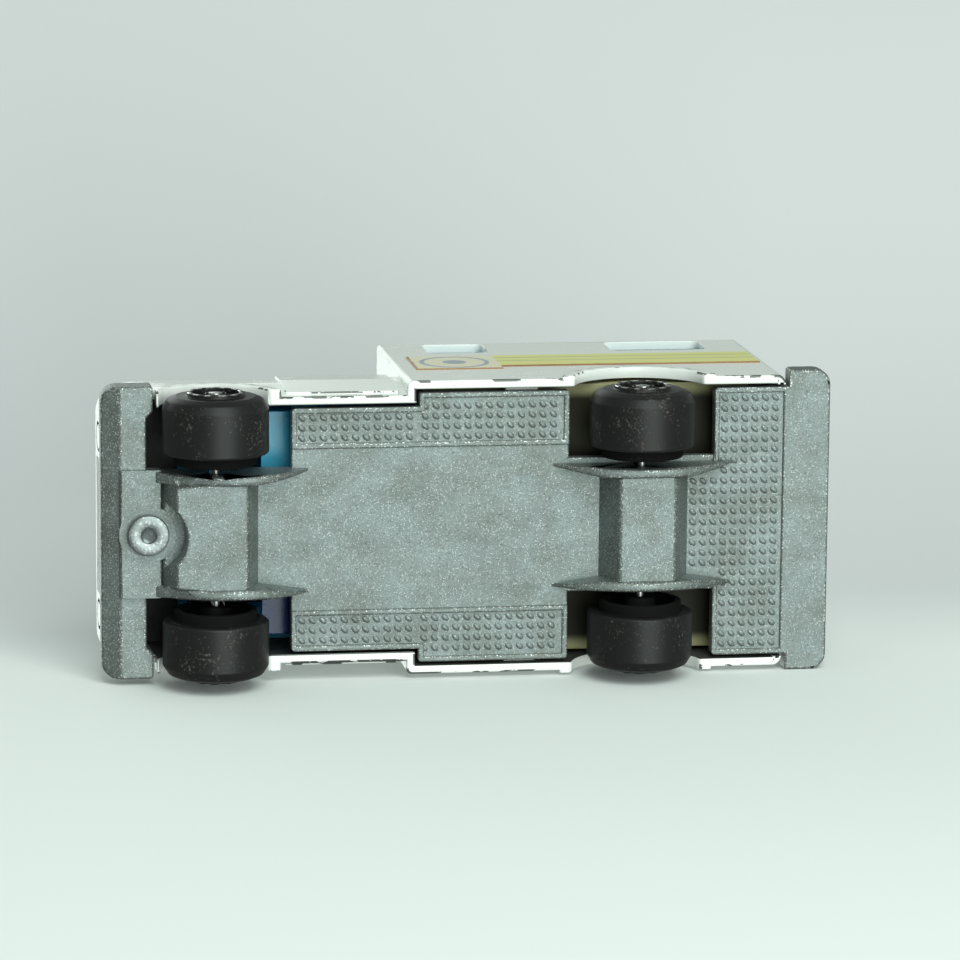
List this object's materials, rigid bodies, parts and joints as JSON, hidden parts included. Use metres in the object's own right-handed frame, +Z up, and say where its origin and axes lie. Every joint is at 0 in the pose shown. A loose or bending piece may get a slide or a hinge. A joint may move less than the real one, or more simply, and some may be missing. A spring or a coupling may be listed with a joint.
{
  "type": "toy ambulance",
  "caption": "Pocket-size die-cast toy ambulance: van cab and box body on a bare metal base, with free-turning wheels and hinged rear doors.",
  "frame": {"origin": "on the ground under the middle of the toy, at the bottom centre of its box", "axes": "+Z up, front towards -Y, the vehicle's left side towards +X"},
  "size_m": [0.0276, 0.066, 0.0286],
  "materials": {
    "white_paint": "gloss, chipped at edges",
    "bare_zinc": "bare zinc casting, grainy and worn",
    "blue_clear": "clear blue plastic",
    "cream_plastic": "moulded",
    "axle_steel": "drawn wire",
    "black_plastic": "moulded, silver foil on the hub",
    "label_print": "printed paper"
  },
  "bodies": {
    "chassis": {"body_shell": "white_paint", "base_plate": "bare_zinc", "window_glazing": "blue_clear", "interior_tray": "cream_plastic", "front_axle": "axle_steel", "rear_axle": "axle_steel", "side_label_left": "label_print", "side_label_right": "label_print"},
    "front_left_wheel": {"wheel_front_left": "black_plastic"},
    "front_right_wheel": {"wheel_front_right": "black_plastic"},
    "rear_left_wheel": {"wheel_rear_left": "black_plastic"},
    "rear_right_wheel": {"wheel_rear_right": "black_plastic"},
    "left_door": {"rear_door_left": "white_paint"},
    "right_door": {"rear_door_right": "white_paint"}
  },
  "joints": [
    {"name": "front_left_wheel_spin", "type": "hinge", "parent": "chassis", "child": "front_left_wheel", "pos_m": [0, -0.023, 0.00475], "axis": [1, 0, 0], "continuous": true},
    {"name": "front_right_wheel_spin", "type": "hinge", "parent": "chassis", "child": "front_right_wheel", "pos_m": [0, -0.023, 0.00475], "axis": [1, 0, 0], "continuous": true},
    {"name": "rear_left_wheel_spin", "type": "hinge", "parent": "chassis", "child": "rear_left_wheel", "pos_m": [0, 0.0154, 0.00475], "axis": [1, 0, 0], "continuous": true},
    {"name": "rear_right_wheel_spin", "type": "hinge", "parent": "chassis", "child": "rear_right_wheel", "pos_m": [0, 0.0154, 0.00475], "axis": [1, 0, 0], "continuous": true},
    {"name": "left_door_hinge", "type": "hinge", "parent": "chassis", "child": "left_door", "pos_m": [0.0115, 0.0279, 0.017], "axis": [0, 0, -1], "range_deg": [0, 95]},
    {"name": "right_door_hinge", "type": "hinge", "parent": "chassis", "child": "right_door", "pos_m": [-0.0115, 0.0279, 0.017], "axis": [0, 0, 1], "range_deg": [0, 95]}
  ]
}
